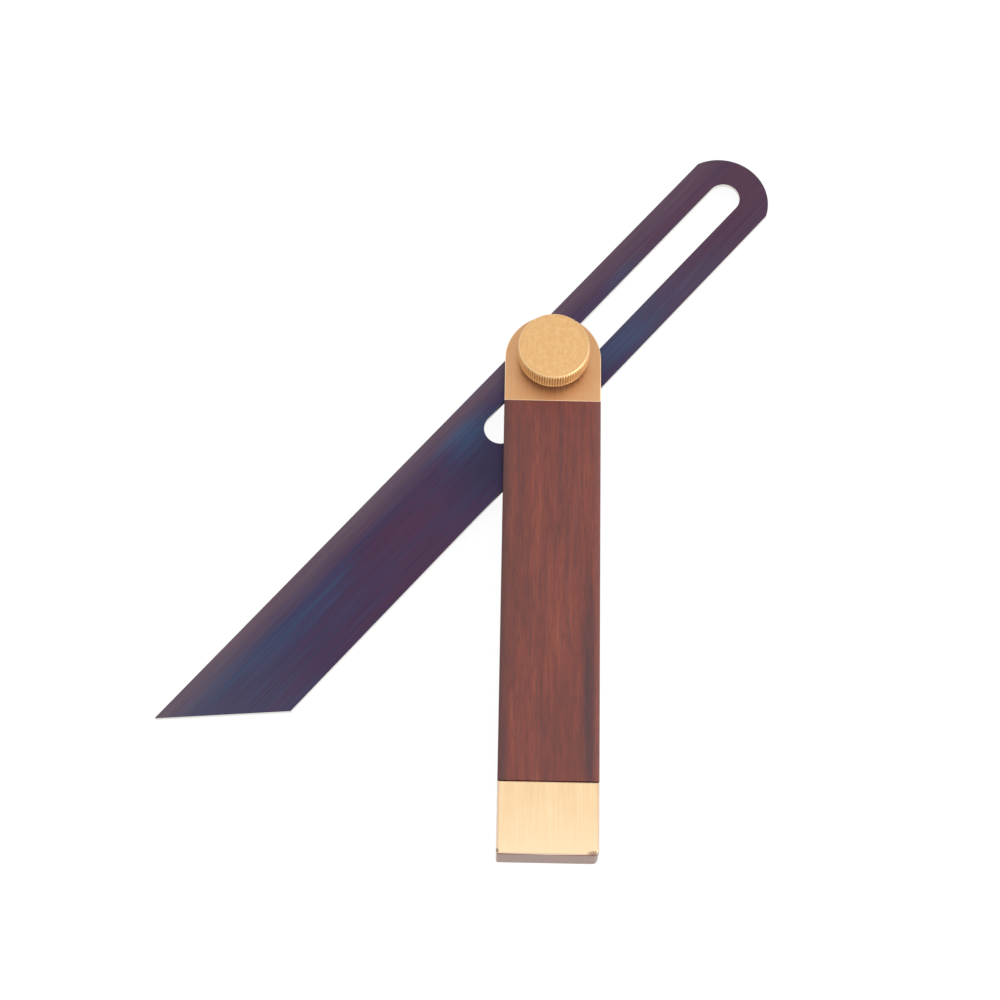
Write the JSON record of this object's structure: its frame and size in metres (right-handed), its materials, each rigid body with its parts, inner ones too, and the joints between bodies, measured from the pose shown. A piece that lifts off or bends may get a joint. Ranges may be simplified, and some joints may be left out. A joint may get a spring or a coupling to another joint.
{
  "type": "sliding bevel",
  "caption": "Sliding T-bevel: slotted blued-steel blade that turns and slides in a brass-ended hardwood stock, locked by a knurled brass thumb knob.",
  "frame": {"origin": "on the pivot axis, in the plane of the stock's rear face", "axes": "+Y along the stock towards its round head, +Z out of its front face towards the knob, +X to the stock's right seen from the front"},
  "size_m": [0.1879, 0.2348, 0.0207],
  "materials": {
    "rosewood": "oiled hardwood, fine straight grain",
    "brass": "satin, brushed along the stock; fine knurl on the knob",
    "blued_steel": "heat-blued, brushed along its length, violet to blue",
    "bright_steel": "plain turned steel"
  },
  "bodies": {
    "stock": {"wooden_stock": "rosewood", "front_head_plate": "brass", "rear_head_plate": "brass", "front_plate_pin_left": "brass", "front_plate_pin_right": "brass", "rear_plate_pin_left": "brass", "rear_plate_pin_right": "brass", "butt_cap": "brass", "butt_cap_pin_left": "brass", "butt_cap_pin_right": "brass", "pivot_bolt": "bright_steel"},
    "friction_washers": {"front_friction_washer": "bright_steel", "rear_friction_washer": "bright_steel"},
    "blade": {"blade": "blued_steel"},
    "clamp_washer": {"clamp_washer": "brass"},
    "knob": {"thumb_knob": "brass"}
  },
  "joints": [
    {"name": "blade_swing", "type": "hinge", "parent": "stock", "child": "friction_washers", "pos_m": [0, 0, 0.00555], "axis": [0, 0, 1], "range_deg": [-306, 27]},
    {"name": "blade_slide", "type": "slide", "parent": "friction_washers", "child": "blade", "axis": [0.6508, 0.7593, 0], "range_m": [-0.082, 0.027]},
    {"name": "knob_lift", "type": "slide", "parent": "stock", "child": "clamp_washer", "axis": [0, 0, 1], "range_m": [0, 0.0016]},
    {"name": "knob_turn", "type": "hinge", "parent": "clamp_washer", "child": "knob", "pos_m": [0, 0, 0.0172], "axis": [0, 0, 1], "range_deg": [0, 730]}
  ],
  "couplings": [
    {"joint": "knob_turn", "follows": "knob_lift", "rad_per_m": 7854}
  ]
}
